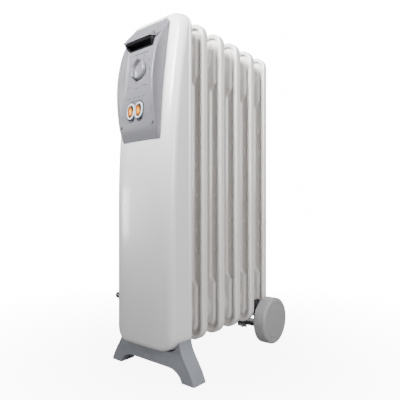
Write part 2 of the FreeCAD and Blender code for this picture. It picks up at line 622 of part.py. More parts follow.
def foot_side(inset):
    """Flared outer side from the cover's flank down to the floor, as (x, z)."""
    base = [(73.6, 67.0), (75.0, 58.0), (78.2, 50.0), (83.0, 41.5), (88.8, 32.6), (94.0, 24.4), (98.6, 16.5),
            (102.4, 8.6), (105.6, 0.4)]
    return [(x - inset, z) for x, z in base]


def foot_block(inset, y0, y1):
    side = foot_side(inset)
    c0 = Part.BSplineCurve()
    c0.interpolate([V(x, y0, z) for x, z in side])
    under = [(77.6 + inset, 0.4), (75.0 + inset, 6.5), (70.5 + inset, 11.8), (64.0 + inset * 0.7, 16.4),
             (55.0, 19.6 + inset), (46.0, 20.4 + inset), (40.0, 20.5 + inset)]
    c1 = Part.BSplineCurve()
    c1.interpolate([V(x, y0, z) for x, z in under])
    mid = V(0, y0, under[-1][1])
    wire = Part.Wire([c0.toShape(),
                      Part.makeLine(V(side[-1][0], y0, 0.4), V(under[0][0], y0, 0.4)),
                      c1.toShape(),
                      Part.makeLine(V(under[-1][0], y0, under[-1][1]), mid),
                      Part.makeLine(mid, V(0, y0, 67.0)),
                      Part.makeLine(V(0, y0, 67.0), V(side[0][0], y0, 67.0))])
    half = Part.Face(wire).extrude(V(0, y1 - y0, 0))
    return half.fuse(mirror_x(half)).removeSplitter()


foot = foot_block(0.0, FOOT_Y0, FOOT_Y1)
clear = rounded_xz(COVER_HALF_W + 0.3, COVER_BOTTOM - 0.3, 400, COVER_CORNER + 0.3, 0, 100)
hem_clear = rounded_xz(COVER_HALF_W + 1.1, COVER_BOTTOM - 0.9, 400, COVER_CORNER + 1.1, COVER_REAR - 8.4, 100)
foot = foot.cut(clear).cut(hem_clear)
edges = [e for e in foot.Edges if e.Length > 40 and abs(e.CenterOfMass.x) > 76 and
         (e.BoundBox.YMax < FOOT_Y0 + 0.1 or e.BoundBox.YMin > FOOT_Y1 - 0.1)]
foot = foot.makeFillet(2.0, edges)
inner = foot_block(3.0, FOOT_Y0 + 3.2, FOOT_Y1 - 3.2)
inner = inner.cut(box(-130, 130, 0, 100, -5, 4.6)).cut(box(-130, 130, 0, 100, 62, 90))
foot = foot.cut(inner.cut(box(-34, 34, 0, 100, 0, 100)))
for x, y in FOOT_BOLTS:
    foot = foot.fuse(cyl_z(x, y, 21.5, COVER_BOTTOM - 0.4, 5.0))
    foot = foot.cut(cyl_z(x, y, 10, 60, 2.2)).cut(cyl_z(x, y, 10, 24, 4.3))
for side in (-1, 1):
    foot = foot.cut(box(*sorted((side * 81.9, side * 100.1)), 29.9, 50.1, -1, 3.1))
foot = foot.removeSplitter()
save("front_foot", foot)
save("foot_pads", *[box(*sorted((side * 82.0, side * 100.0)), 30.0, 50.0, 0.0, 3.1) for side in (-1, 1)])
save("foot_bolts", *[fuse(cyl_z(x, y, 20.4, 24.0, 3.9), cyl_z(x, y, 24.0, COVER_BOTTOM + 6, 2.0))
                     for x, y in FOOT_BOLTS])
save("foot_nuts", *[cyl_z(x, y, COVER_BOTTOM + COVER_WALL, COVER_BOTTOM + COVER_WALL + 3.2, 4.0)
                    .cut(cyl_z(x, y, 30, 60, 2.0)) for x, y in FOOT_BOLTS])

# ---- rear axle ----------------------------------------------------------
# A pressed bracket passes below the last two elements, rises between them on
# each side and carries a riveted stub axle for each wheel.
BAR_Z0, BAR_Z1 = 38.5, 41.5
bar = box(-66, 66, 276, 322, BAR_Z0, BAR_Z1)
bar = bar.fuse(box(-71.0, 71.0, 294, 322, BAR_Z0, BAR_Z1))
for side in (-1, 1):
    x0, x1 = sorted((side * 61.5, side * 64.0))
    upright = box(x0, x1, 277.0, 298.0, BAR_Z1, 96.0)
    upright = fillet_where(upright, 6.0, lambda c, e: abs(c.z - 96) < 0.1 and abs(e.Length - 2.5) < 0.1)
    x0, x1 = sorted((side * 68.5, side * 71.0))
    ear = box(x0, x1, 296.0, 320.0, BAR_Z1, 60.0)
    ear = fillet_where(ear, 6.0, lambda c, e: abs(c.z - 60) < 0.1 and abs(e.Length - 2.5) < 0.1)
    bar = bar.fuse(upright).fuse(ear)
for side in (-1, 1):
    bar = bar.cut(cyl_z(side * 24.9, COLLAR_GAP_Y, 30, 60, 2.9))
    bar = bar.cut(cyl_x(*sorted((side * 60, side * 80)), WHEEL_Y, WHEEL_R, AXLE_R))
bar = bar.cut(box(-16, 16, 299, 316, 30, 60)).removeSplitter()
save("axle_bracket", bar)

bolt_r = 24.9
arc = Part.Arc(V(-bolt_r, COLLAR_GAP_Y, HUB_Z[0]), V(0, COLLAR_GAP_Y, HUB_Z[0] + bolt_r),
               V(bolt_r, COLLAR_GAP_Y, HUB_Z[0])).toShape()
path = Part.Wire([Part.makeLine(V(-bolt_r, COLLAR_GAP_Y, 27.5), V(-bolt_r, COLLAR_GAP_Y, HUB_Z[0])), arc,
                  Part.makeLine(V(bolt_r, COLLAR_GAP_Y, HUB_Z[0]), V(bolt_r, COLLAR_GAP_Y, 27.5))])
ring = Part.Wire([Part.makeCircle(2.5, V(-bolt_r, COLLAR_GAP_Y, 27.5), V(0, 0, 1))])
save("u_bolt", path.makePipeShell([ring], True, False))
wings = []
for side in (-1, 1):
    x = side * bolt_r
    blade = box(x - 12, x + 12, COLLAR_GAP_Y - 1, COLLAR_GAP_Y + 1, 29.0, 36.5)
    w = fuse(cyl_z(x, COLLAR_GAP_Y, 32.0, BAR_Z0, 5.2), blade)
    wings.append(w.cut(cyl_z(x, COLLAR_GAP_Y, 20, 60, 2.5)))
save("wing_nuts", *wings)

def axle_disc(side, near, far, radius):
    """Disc on the wheels' axis between two distances from the middle plane."""
    x0, x1 = sorted((side * near, side * far))
    return cyl_x(x0, x1, WHEEL_Y, WHEEL_R, radius)


axles = []
washers = []
clips = []
for side in (-1, 1):
    hole = axle_disc(side, 60, 99, AXLE_R)
    axles.append(fuse(axle_disc(side, 66.5, 95.0, AXLE_R), axle_disc(side, 65.0, 68.5, 7.0)))
    washers.append(axle_disc(side, 71.0, 72.0, 8.0).cut(hole))
    clips.append(axle_disc(side, 92.6, 93.8, 7.5).cut(hole))
save("stub_axles", *axles)
save("axle_washers", *washers)
save("axle_clips", *clips)

# ---- wheels -------------------------------------------------------------
CAP_R = 37.0
outer = [(AXLE_R + 0.06, WHEEL_IN), (11.0, WHEEL_IN), (11.0, 74.5), (44.0, 74.5), (45.0, WHEEL_IN + 0.3),
         (WHEEL_R - 1.4, WHEEL_IN + 0.3), (WHEEL_R, WHEEL_IN + 1.8), (WHEEL_R, 90.0), (WHEEL_R - 0.5, 93.0),
         (WHEEL_R - 2.0, 95.8), (WHEEL_R - 4.6, 98.2), (WHEEL_R - 8.4, 99.7), (CAP_R, 100.3), (CAP_R, 98.0),
         (CAP_R - 2.5, 98.0), (CAP_R - 2.5, 77.5), (11.0, 77.5), (11.0, 92.2), (AXLE_R + 0.06, 92.2)]
cap = [(0, 98.2), (CAP_R - 0.2, 98.2), (CAP_R - 0.2, 100.2), (CAP_R - 4.0, 100.5), (20.0, 100.8), (0, 100.8)]
for name, side in (("left", -1), ("right", 1)):
    for part_name, outline in (("rim", outer), ("cap", cap)):
        s = revolve_x([(r, side * x) for r, x in outline], WHEEL_Y, WHEEL_R)
        save("wheel_%s_%s" % (name, part_name), s)

# Blank rating plate on the back of the last element.
last_y = FIN_Y[-1] + PAD_DEPTH
save("rating_plate", box(-26, 26, last_y, last_y + 0.5, 186, 236))
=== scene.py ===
import bpy
import math
from mathutils import Matrix, Vector


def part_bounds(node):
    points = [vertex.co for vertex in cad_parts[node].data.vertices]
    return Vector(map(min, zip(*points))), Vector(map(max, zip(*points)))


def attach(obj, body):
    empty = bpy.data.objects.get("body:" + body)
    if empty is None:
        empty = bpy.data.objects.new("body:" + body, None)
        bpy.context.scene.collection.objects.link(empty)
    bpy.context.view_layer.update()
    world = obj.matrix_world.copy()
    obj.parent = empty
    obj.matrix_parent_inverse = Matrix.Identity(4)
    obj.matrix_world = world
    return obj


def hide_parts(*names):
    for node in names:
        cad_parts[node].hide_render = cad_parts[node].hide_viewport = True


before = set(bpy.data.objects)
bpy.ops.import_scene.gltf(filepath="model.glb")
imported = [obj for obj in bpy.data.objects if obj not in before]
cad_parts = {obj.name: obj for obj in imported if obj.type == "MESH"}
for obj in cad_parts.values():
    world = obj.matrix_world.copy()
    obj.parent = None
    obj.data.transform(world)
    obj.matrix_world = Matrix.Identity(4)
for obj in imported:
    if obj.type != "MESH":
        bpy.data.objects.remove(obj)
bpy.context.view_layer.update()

# ---- Radiator elements ---------------------------------------------------
# Six hollow leaves of pressed steel sheet, each welded from a front and a rear
# stamping. The rim is folded into a tube so that no sharp edge is left, and the
# whole leaf is dipped and stoved in white enamel.
MM = 0.001
CENTRE_Y = round(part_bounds("front_cover")[0].y / MM, 2)    # shapes measure y from the hood's front plane


def part_box(node):
    """Lowest and highest corners of a frame node, in millimetres, y from the hood's front plane."""
    return [[round(v / MM - shift, 2) for v, shift in zip(corner, (0, CENTRE_Y, 0))]
            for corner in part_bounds(node)]


element_low, element_high = part_box("fin_1_front_shell")
ELEMENT_HALF = element_high[0]
ELEMENT_LOW = element_low[2]
ELEMENT_HIGH = element_high[2]
ELEMENT_Y = [part_box("fin_%d_front_shell" % number)[1][1] for number in range(1, 7)]    # weld planes
ELEMENT_CORNER = 26.0
MID_Z = (ELEMENT_LOW + ELEMENT_HIGH) / 2
SHEET_INSET = 7.6             # the rim's tube hides the sheet's edge by this much
FLANGE_RISE = 1.0             # flat sheet beside the chamber, out from the weld plane
DEEP_RISE, SLIM_RISE = (5.2, 7.3), (4.9, 5.6)    # chamber's height in the middle and at its wide ends
DEEP_RIM = 7.0                # halves with a rim over this depth have the deep chamber
CHANNEL_HALF = 43.6
CHAMBER_HALF = 58.6
CHAMBER_END = 12.5            # from the element's end to the chamber's end
CHAMBER_CORNER = 21.0
NECK_Z, NECK_LENGTH = 163.0, 17.0    # here, from either end, the wide part has become the channel
LOUVRE_X = 49.8
LOUVRE_Z = (216.0, 267.5, 319.0, 370.5, 422.0, 473.5)
LOUVRE_REACH = 11.0           # nothing of a louvre is further than this from its centre's height
SCOOP_RISE, MOUTH_DROP = 1.6, 0.9    # a louvre is pushed out, and its outboard mouth sheared open


def rounded_rect(half, low, high, radius, steps=9):
    """Corner-rounded outline in the XZ plane, starting at the right of the lower edge."""
    centres = ((half - radius, low + radius, -90), (half - radius, high - radius, 0),
               (radius - half, high - radius, 90), (radius - half, low + radius, 180))
    points = []
    for cx, cz, start in centres:
        for i in range(steps + 1):
            a = math.radians(start + 90 * i / steps)
            points.append((cx + radius * math.cos(a), cz + radius * math.sin(a)))
    return points


def new_piece(name, vertices, faces, smooth=True, keep_sharp=40):
    """Mesh object from millimetre coordinates; edges over keep_sharp degrees stay sharp."""
    mesh = bpy.data.meshes.new(name)
    places = [(x * MM, (y + CENTRE_Y) * MM, z * MM) for x, y, z in vertices]
    mesh.from_pydata(places, [], faces)
    mesh.validate()
    if smooth:
        mesh.shade_smooth()
        mesh.set_sharp_from_angle(angle=math.radians(keep_sharp))
    piece = bpy.data.objects.new(name, mesh)
    bpy.context.collection.objects.link(piece)
    return piece


def place(piece, body, slot, *nodes):
    """Put a finished piece into the frame under its body and hide the nodes it stands for; slot is not used.
    """
    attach(piece, body)
    if nodes:
        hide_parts(*nodes)


def ring_faces(rings, count):
    """Quads between neighbouring closed rings of the same number of points."""
    faces = []
    for ring in range(rings - 1):
        near, far = ring * count, (ring + 1) * count
        for i in range(count):
            j = (i + 1) % count
            faces.append((near + i, near + j, far + j, far + i))
    return faces


def ease(t):
    """Smooth step: 0 below 0, 1 above 1 and level at both ends."""
    t = min(max(t, 0.0), 1.0)
    return t * t * (3 - 2 * t)


def chamber_half(z):
    """Half width of the dog-bone oil chamber at height z."""
    end = min(z, 2 * MID_Z - z)
    half = CHANNEL_HALF + (CHAMBER_HALF - CHANNEL_HALF) * ease((NECK_Z - end) / NECK_LENGTH)
    up = end - (ELEMENT_LOW + CHAMBER_END)
    if up < 0:
        return 0.0
    if up < CHAMBER_CORNER:
        round_off = math.sqrt(CHAMBER_CORNER ** 2 - (CHAMBER_CORNER - up) ** 2)
        half = min(half, CHAMBER_HALF - CHAMBER_CORNER + round_off)
    return half


def relief(x, z, rim_depth):
    """How far the sheet stands out from the weld plane; it stays inside the rim's depth."""
    middle_rise, end_rise = DEEP_RISE if rim_depth > DEEP_RIM else SLIM_RISE
    end = min(z, 2 * MID_Z - z)
    inside = min(chamber_half(z) - abs(x), end - (ELEMENT_LOW + CHAMBER_END))
    wide = ease((NECK_Z - 7.0 - end) / 14.0)
    shoulder = 3.0 + 5.5 * wide
    full = middle_rise - FLANGE_RISE + (end_rise - middle_rise) * wide
    height = FLANGE_RISE + full * ease(inside / shoulder + 0.12)
    height += 0.3 * wide * math.exp(-((inside - 8.0) / 2.0) ** 2)    # rolled edge of the wide ends
    for centre in LOUVRE_Z:
        dx = abs(x) - LOUVRE_X
        dz = z - centre
        if abs(dx) < 7 and abs(dz) < LOUVRE_REACH:
            scoop = math.hypot(dx / 4.6, (dz + 1.5) / 7.5)
            mouth = math.hypot((dx - 3.6) / 2.0, (dz - 2.0) / 4.0)
            height += SCOOP_RISE * ease(1.15 - scoop)
            height -= MOUTH_DROP * ease(1.3 - mouth)
    return height


def element_half(name, weld_y, side, rim_depth):
    """One stamping; side is -1 for the half that faces the hood."""
    inner_half = ELEMENT_HALF - SHEET_INSET
    inner_low = ELEMENT_LOW + SHEET_INSET
    inner_corner = ELEMENT_CORNER - SHEET_INSET
    columns = [0, 10, 20, 30, 36, 39, 41, 42.5, 44, 45.5]
    columns += [46.5 + step for step in range(9)]
    columns += [56, 57.5, 59, 60.2, inner_half]
    columns = [-c for c in reversed(columns[1:])] + columns
    rows = []
    z = inner_low
    while z < MID_Z - 0.01:
        rows.append(z)
        mirrored = 2 * MID_Z - z
        near_louvre = any(min(abs(z - c), abs(mirrored - c)) < LOUVRE_REACH for c in LOUVRE_Z)
        near_curve = z < 86 or 136 < z < 170    # the chamber's corner and its neck
        z += 1.5 if near_louvre else 2.2 if near_curve else 7.0
    rows = rows + [MID_Z] + [2 * MID_Z - r for r in reversed(rows)]
    vertices, faces = [], []
    for z in rows:
        end = min(z, 2 * MID_Z - z)
        up = end - inner_low
        edge = inner_half
        if up < inner_corner:
            round_off = math.sqrt(max(inner_corner ** 2 - (inner_corner - up) ** 2, 0.0))
            edge = inner_half - inner_corner + round_off
        for c in columns:
            x = max(-edge, min(edge, c)) if abs(c) < inner_half - 0.1 else math.copysign(edge, c)
            vertices.append((x, weld_y + side * relief(x, z, rim_depth), z))
    wide = len(columns)
    for j in range(len(rows) - 1):
        for i in range(wide - 1):
            low, high = j * wide + i, (j + 1) * wide + i
            quad = (low, low + 1, high + 1, high)
            faces.append(quad if side < 0 else quad[::-1])
    # The folded rim in section: inset from the element's edge, and depth from the weld plane.
    # It runs over the tube, across the fold's thin step and down inside to the sheet.
    d = rim_depth
    section = [(0.0, 0.25), (0.0, d - 2.9), (0.25, d - 1.7), (0.9, d - 0.75), (1.9, d - 0.15),
               (3.2, d), (4.9, d - 0.05), (5.5, d - 0.35), (5.8, d - 0.75), (6.15, d - 0.6),
               (6.9, d - 0.65), (7.6, d - 1.2), (7.95, d - 2.2), (8.0, d - 3.2), (7.95, 2.2),
               (7.4, 1.0), (6.4, 0.6)]
    start = len(vertices)
    for inset, depth in section:
        outline = rounded_rect(ELEMENT_HALF - inset, ELEMENT_LOW + inset, ELEMENT_HIGH - inset,
                               ELEMENT_CORNER - inset)
        vertices += [(x, weld_y + side * depth, z) for x, z in outline]
    for face in ring_faces(len(section), len(outline)):
        face = tuple(start + i for i in face)
        faces.append(face[::-1] if side < 0 else face)
    return new_piece(name, vertices, faces)


def srgb(code):
    """Linear colour from an sRGB hex code."""
    linear = []
    for i in (0, 2, 4):
        v = int(code[i:i + 2], 16) / 255
        linear.append(v / 12.92 if v <= 0.04045 else ((v + 0.055) / 1.055) ** 2.4)
    return (*linear, 1.0)


def add_node(tree, kind, settings=None, **links):
    """Add a shader node, set its properties or sockets, and link its inputs."""
    node = tree.nodes.new(kind)
    for key, value in (settings or {}).items():
        if key in node.inputs:
            node.inputs[key].default_value = value
        else:
            setattr(node, key, value)
    for key, source in links.items():
        tree.links.new(source, node.inputs[key.replace("_", " ")])
    return node


def start_material(name, **sockets):
    """New material with its main shader's fixed sockets set; returns the material, tree and shader."""
    material = bpy.data.materials.new(name)
    material.use_nodes = True
    tree = material.node_tree
    shader = tree.nodes["Principled BSDF"]
    for key, value in sockets.items():
        shader.inputs[key.replace("_", " ")].default_value = value
    return material, tree, shader


def stoved_enamel(name, light, shade):
    """White stoving enamel: a hard satin film with a slight orange peel and faint cloudiness."""
    cloud_mm = 111.0              # drift of the film's thickness over the sheet
    peel_mm = 2.38                # orange peel of a dipped film, drawn about twice its real size to show
    peel_depth_mm = 0.4
    material, tree, shader = start_material(name, IOR=1.5, Roughness=0.34, Coat_Weight=0.6,
                                            Coat_Roughness=0.12)
    where = add_node(tree, "ShaderNodeTexCoord")
    cloud = add_node(tree, "ShaderNodeTexNoise", {"Scale": 1000 / cloud_mm, "Detail": 3.0},
                     Vector=where.outputs["Object"])
    ramp = add_node(tree, "ShaderNodeValToRGB", Fac=cloud.outputs["Fac"])
    for stop, position, colour in zip(ramp.color_ramp.elements, (0.3, 0.7), (shade, light)):
        stop.position = position
        stop.color = srgb(colour)
    tree.links.new(ramp.outputs["Color"], shader.inputs["Base Color"])
    rough = add_node(tree, "ShaderNodeMapRange", {"To Min": 0.30, "To Max": 0.40},
                     Value=cloud.outputs["Fac"])
    tree.links.new(rough.outputs["Result"], shader.inputs["Roughness"])
    peel = add_node(tree, "ShaderNodeTexNoise", {"Scale": 1000 / peel_mm, "Detail": 2.0},
                    Vector=where.outputs["Object"])
    bump = add_node(tree, "ShaderNodeBump", {"Strength": 0.10, "Distance": peel_depth_mm * MM},
                    Height=peel.outputs["Fac"])
    tree.links.new(bump.outputs["Normal"], shader.inputs["Normal"])
    return material


# A warm white satin: soft broad highlights along the rims, and no metal shows through.
element_enamel = stoved_enamel("element stoving enamel", "eae7e4", "e3e0dd")
for number, weld_y in enumerate(ELEMENT_Y, 1):
    for word, side in (("front", -1), ("rear", 1)):
        node = "fin_%d_%s_shell" % (number, word)
        low, high = part_box(node)
        rim_depth = round(high[1] - low[1], 2)
        half = element_half("element_%d_%s" % (number, word), weld_y, side, rim_depth)
        half.data.materials.append(element_enamel)
        place(half, "heater", "fin_enamel", node)


# ---- Headers -------------------------------------------------------------
# Domed cups stamped round each port and short welded collars make the two oil
# headers, top and bottom. Same sheet steel and enamel as the elements.
CUP_FOOT, CUP_TOP = 34.0, 23.4       # radii where the cup leaves the chamber and at its weld face
COLLAR_RADIUS = 21.0
COLLAR_HALF_GAP = 13.6        # a collar starts this far from its element's weld plane


def spin(profile, centre, axis, steps=64):
    """Vertices and faces of a profile of (radius, distance) turned about X or Y through a centre."""
    vertices = []
    cx, cy, cz = centre
    for radius, along in profile:
        for i in range(steps):
            a = 2 * math.pi * i / steps
            if axis == "Y":
                vertices.append((cx + radius * math.cos(a), cy + along, cz + radius * math.sin(a)))
            else:
                vertices.append((cx + along, cy + radius * math.cos(a), cz + radius * math.sin(a)))
    return vertices, ring_faces(len(profile), steps)


def join_parts(parts):
    """Put several vertex and face lists into one."""
    vertices, faces = [], []
    for part_vertices, part_faces in parts:
        offset = len(vertices)
        vertices += part_vertices
        faces += [tuple(offset + i for i in face) for face in part_faces]
    return vertices, faces


def cup_profile(side, depth):
    """Domed cup from its foot on the chamber out to the weld face."""
    foot = 6.5
    points = [(CUP_FOOT + 0.6, foot - 0.3)]
    for i in range(13):
        t = i / 12
        radius = CUP_FOOT - (CUP_FOOT - CUP_TOP) * t
        points.append((radius, foot + (depth - foot) * math.sin(math.pi / 2 * t)))
    points += [(22.6, depth), (20.8, depth)]
    return [(r, side * d) for r, d in points]


def widen_cup(vertices, z):
    """Draw the cup's foot out sideways, more the further it is from the round weld face."""
    widened = []
    for x, y, up in vertices:
        beyond = max(math.hypot(x, up - z) - 23.0, 0.0)
        widened.append((x * (1 + 0.040 * beyond), y, up))
    return widened


def collar_profile(y0, y1):
    """Collar with a weld fillet at each end and a seam weld standing proud round its middle."""
    mid = (y0 + y1) / 2
    fillet = [(1.6, 0.0), (0.4, 0.7), (0.0, 1.8)]
    seam = [(0.0, -2.4), (0.5, -1.9), (1.1, -1.0), (1.2, 0.0), (1.1, 1.0), (0.5, 1.9), (0.0, 2.4)]
    points = [(rise, y0 + along) for rise, along in fillet]
    points += [(rise, mid + along) for rise, along in seam]
    points += [(rise, y1 - along) for rise, along in reversed(fillet)]
    return [(COLLAR_RADIUS + rise, y) for rise, y in points]


for word in ("lower", "upper"):
    node = "header_collars_" + word
    low, high = part_box(node)
    z = (low[2] + high[2]) / 2
    parts = []
    for number, weld_y in enumerate(ELEMENT_Y, 1):
        for side in (-1, 1):
            depth = 9.0 if number == 1 and side < 0 else 14.0    # shallower under the hood's face
            vertices, faces = spin(cup_profile(side, depth), (0, weld_y, z), "Y")
            parts.append((widen_cup(vertices, z), faces if side < 0 else [f[::-1] for f in faces]))
    for first, second in zip(ELEMENT_Y, ELEMENT_Y[1:]):
        profile = collar_profile(first + COLLAR_HALF_GAP, second - COLLAR_HALF_GAP)
        vertices, faces = spin(profile, (0, 0, z), "Y")
        parts.append((vertices, [f[::-1] for f in faces]))
    header = new_piece("header_" + word, *join_parts(parts))
    header.data.materials.append(element_enamel)
    place(header, "heater", "fin_enamel", node)


# ---- Front hood ----------------------------------------------------------
# One deep-drawn steel hood over the first element. Its face is upright below,
# leans back along a long radius above and is slightly crowned across; the rear
# edge is rolled into a narrow hem.
HOOD_HALF = 71.5              # inside the hem, as the next two
HOOD_LOW, HOOD_HIGH = 47.0, 639.2
HOOD_CORNER = 28.0
CORNER_STEPS, SIDE_STEPS, END_STEPS = 12, 44, 16
HOOD_REAR = part_box("front_cover")[1][1]
HOOD_EDGE = 11.0              # radius between the face and the walls
LEAN_START, LEAN_RADIUS = 300.0, 1700.0
CROWN_FLAT, CROWN_DEPTH = 29.0, 205.0    # flat middle's half width, and the crown's divisor beyond it
DRAW_UP = 4.0                 # the front of the lower edge is drawn up this much


def hood_lean(z):
    """Setback of the hood's face at height z."""
    if z < LEAN_START:
        return 0.0
    return LEAN_RADIUS - math.sqrt(LEAN_RADIUS ** 2 - (z - LEAN_START) ** 2)


def hood_face(x, z):
    """The crowned, leaning face, without its rounded border."""
    over = max(abs(x) - CROWN_FLAT, 0.0)
    return hood_lean(z) + over ** 2 / CROWN_DEPTH


def hood_ring(inset, depth_of):
    """One closed line round the hood, its corners and straight edges divided evenly."""
    corner = HOOD_CORNER - inset
    outline = rounded_rect(HOOD_HALF - inset, HOOD_LOW + inset, HOOD_HIGH - inset, corner, CORNER_STEPS)
    points = []
    for i, (x, z) in enumerate(outline):
        points.append((x, z))
        if (i + 1) % (CORNER_STEPS + 1) == 0:
            nx, nz = outline[(i + 1) % len(outline)]
            steps = SIDE_STEPS if abs(nz - z) > abs(nx - x) else END_STEPS
            for k in range(1, steps):
                points.append((x + (nx - x) * k / steps, z + (nz - z) * k / steps))
    return [(x, depth_of(x, z), z) for x, z in points]


# The hem in section: inset from the wall, and distance in front of the rear edge.
hem = [(1.2, 0.9), (0.5, 0.0), (-0.5, 0.1), (-1.0, 0.8), (-1.2, 2.2), (-1.2, 4.2), (-0.9, 5.4),
       (-0.3, 6.2), (0.35, 6.7), (0.45, 7.3), (0.1, 8.1), (0.0, 9.4)]
rings = []
for inset, forward in hem:
    rings.append(hood_ring(inset, lambda x, z, forward=forward: HOOD_REAR - forward))
for k in range(11):
    a = math.radians(9 * k)
    inset = HOOD_EDGE * (1 - math.cos(a))
    rise = HOOD_EDGE * (1 - math.sin(a))
    rings.append(hood_ring(inset, lambda x, z, rise=rise: hood_face(x, z) + rise))
count = len(rings[0])
vertices = [p for ring in rings for p in ring]
faces = [face[::-1] for face in ring_faces(len(rings), count)]

# The face is a grid between the mirrored points of the innermost ring.
border = (len(rings) - 1) * count
right_side = 2 * (CORNER_STEPS + 1) + SIDE_STEPS - 1
grid = []
for k in range(right_side):
    right_end = border + k
    left_end = border + 2 * right_side + END_STEPS - 2 - k
    start = len(vertices)
    xa, _, za = vertices[right_end]
    xb, _, zb = vertices[left_end]
    for step in range(1, END_STEPS):
        x = xa + (xb - xa) * step / END_STEPS
        z = za + (zb - za) * step / END_STEPS
        vertices.append((x, hood_face(x, z), z))
    grid.append([right_end] + list(range(start, start + END_STEPS - 1)) + [left_end])
grid[-1] = [border + right_side - 1 + k for k in range(END_STEPS + 1)]
grid[0] = [border] + [border + count - k for k in range(1, END_STEPS + 1)]
for low, high in zip(grid, grid[1:]):
    for k in range(END_STEPS):
        faces.append((low[k + 1], low[k], high[k], high[k + 1]))

drawn = []
for x, y, z in vertices:
    near_front = ease((45.0 - y) / 35.0)
    near_bottom = ease((110.0 - z) / 60.0)
    drawn.append((x, y, z + DRAW_UP * near_front * near_bottom))
hood = new_piece("front_hood", drawn, faces, keep_sharp=50)
# A cooler white than the elements, and smooth enough for long soft reflections down the face.
hood_enamel = stoved_enamel("hood stoving enamel", "ebe9e9", "e5e3e3")
hood.data.materials.append(hood_enamel)
place(hood, "heater", "cover_enamel", "front_cover")


# ---- Port caps and oil filling rivet -------------------------------------
# Pressed steel caps welded over the open ports, enamelled with the elements,
# and the steel blind rivet that closes the oil filling hole.
def finish_node(node, material, edge=0.0):
    """Give a frame node its material and, where its edges are rounded, a small bevel."""
    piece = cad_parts[node]
    piece.data.materials.clear()
    piece.data.materials.append(material)
    if edge:
        rounding = piece.modifiers.new("edge", "BEVEL")
        rounding.width = edge * MM
        rounding.segments = 3
        rounding.limit_method = "ANGLE"
        rounding.angle_limit = math.radians(35)
        rounding.harden_normals = True


def plated_metal(name, light, shade, rough, streak_mm):
    """Bare or plated metal: upright drawing streaks, drawn coarser than the real scratches to show."""
    streak_depth_mm = 0.1
    material, tree, shader = start_material(name, Metallic=1.0, Roughness=rough)
    where = add_node(tree, "ShaderNodeTexCoord")
    stretch = add_node(tree, "ShaderNodeMapping", {"Scale": (1.0, 1.0, 0.12)}, Vector=where.outputs["Object"])
    streaks = add_node(tree, "ShaderNodeTexNoise", {"Scale": 1000 / streak_mm, "Detail": 3.0},
                       Vector=stretch.outputs["Vector"])
    ramp = add_node(tree, "ShaderNodeValToRGB", Fac=streaks.outputs["Fac"])
    for stop, position, colour in zip(ramp.color_ramp.elements, (0.35, 0.65), (shade, light)):
        stop.position = position
        stop.color = srgb(colour)
    tree.links.new(ramp.outputs["Color"], shader.inputs["Base Color"])
    patchy = add_node(tree, "ShaderNodeMapRange", {"To Min": rough - 0.06, "To Max": rough + 0.08},
                      Value=streaks.outputs["Fac"])
    tree.links.new(patchy.outputs["Result"], shader.inputs["Roughness"])
    bump = add_node(tree, "ShaderNodeBump", {"Strength": 0.15, "Distance": streak_depth_mm * MM},
                    Height=streaks.outputs["Fac"])
    tree.links.new(bump.outputs["Normal"], shader.inputs["Normal"])
    return material


# Passivated zinc: a bright but slightly milky grey, with blurred reflections.
zinc_steel = plated_metal("zinc plated steel", "c9cacb", "a9abae", rough=0.32, streak_mm=1.2)
finish_node("header_caps", element_enamel, 0.5)
finish_node("oil_fill_rivet", zinc_steel, 0.3)

# ---- Heating element -----------------------------------------------------
# Brass screw flange with a fibre gasket, two steel sheathed tubes in the oil
# and ceramic-sealed terminal pins; all of it is behind the hood.

# Turned brass: warm yellow metal with fine tool marks and a fairly sharp shine.
brass = plated_metal("turned brass", "d9bd7c", "b89655", rough=0.28, streak_mm=0.9)
finish_node("element_flange", brass, 0.5)


def mottled(name, light, shade, rough, cloud_mm, grain_mm, relief_mm, strength, **sockets):
    """Non-metal with a cloudy tint and a surface grain, in millimetres.

    A mould's spark-eroded grain is about 0.2 mm; the grains here are drawn coarser so that they show.
    """
    material, tree, shader = start_material(name, Roughness=rough, **sockets)
    where = add_node(tree, "ShaderNodeTexCoord")
    cloud = add_node(tree, "ShaderNodeTexNoise", {"Scale": 1000 / cloud_mm, "Detail": 4.0},
                     Vector=where.outputs["Object"])
    ramp = add_node(tree, "ShaderNodeValToRGB", Fac=cloud.outputs["Fac"])
    for stop, position, colour in zip(ramp.color_ramp.elements, (0.3, 0.7), (shade, light)):
        stop.position = position
        stop.color = srgb(colour)
    tree.links.new(ramp.outputs["Color"], shader.inputs["Base Color"])
    sheen = add_node(tree, "ShaderNodeMapRange", {"To Min": rough - 0.04, "To Max": rough + 0.05},
                     Value=cloud.outputs["Fac"])
    tree.links.new(sheen.outputs["Result"], shader.inputs["Roughness"])
    grain = add_node(tree, "ShaderNodeTexNoise", {"Scale": 1000 / grain_mm, "Detail": 2.0},
                     Vector=where.outputs["Object"])
    bump = add_node(tree, "ShaderNodeBump", {"Strength": strength, "Distance": relief_mm * MM},
                    Height=grain.outputs["Fac"])
    tree.links.new(bump.outputs["Normal"], shader.inputs["Normal"])
    return material


# Pressed vegetable fibre: dull brown, flecked and rough to the touch.
gasket_fibre = mottled("pressed fibre", "8a7a66", "6f614f", rough=0.8,
                       cloud_mm=3.0, grain_mm=0.6, relief_mm=0.2, strength=0.4)
finish_node("element_gasket", gasket_fibre)
# Annealed steel tube: a brownish grey metal with a dull, streaky sheen.
tube_sheath = plated_metal("annealed steel sheath", "8f8a84", "6b665f", rough=0.45, streak_mm=1.5)
finish_node("element_tubes", tube_sheath)
finish_node("element_terminals", zinc_steel)

# ---- Hood fixings and heat shield ----------------------------------------
# Folded tabs that hook the hood to the first element and the bright sheet that
# keeps the element's heat from the controls.
finish_node("cover_tabs", hood_enamel)
finish_node("heat_shield", zinc_steel)

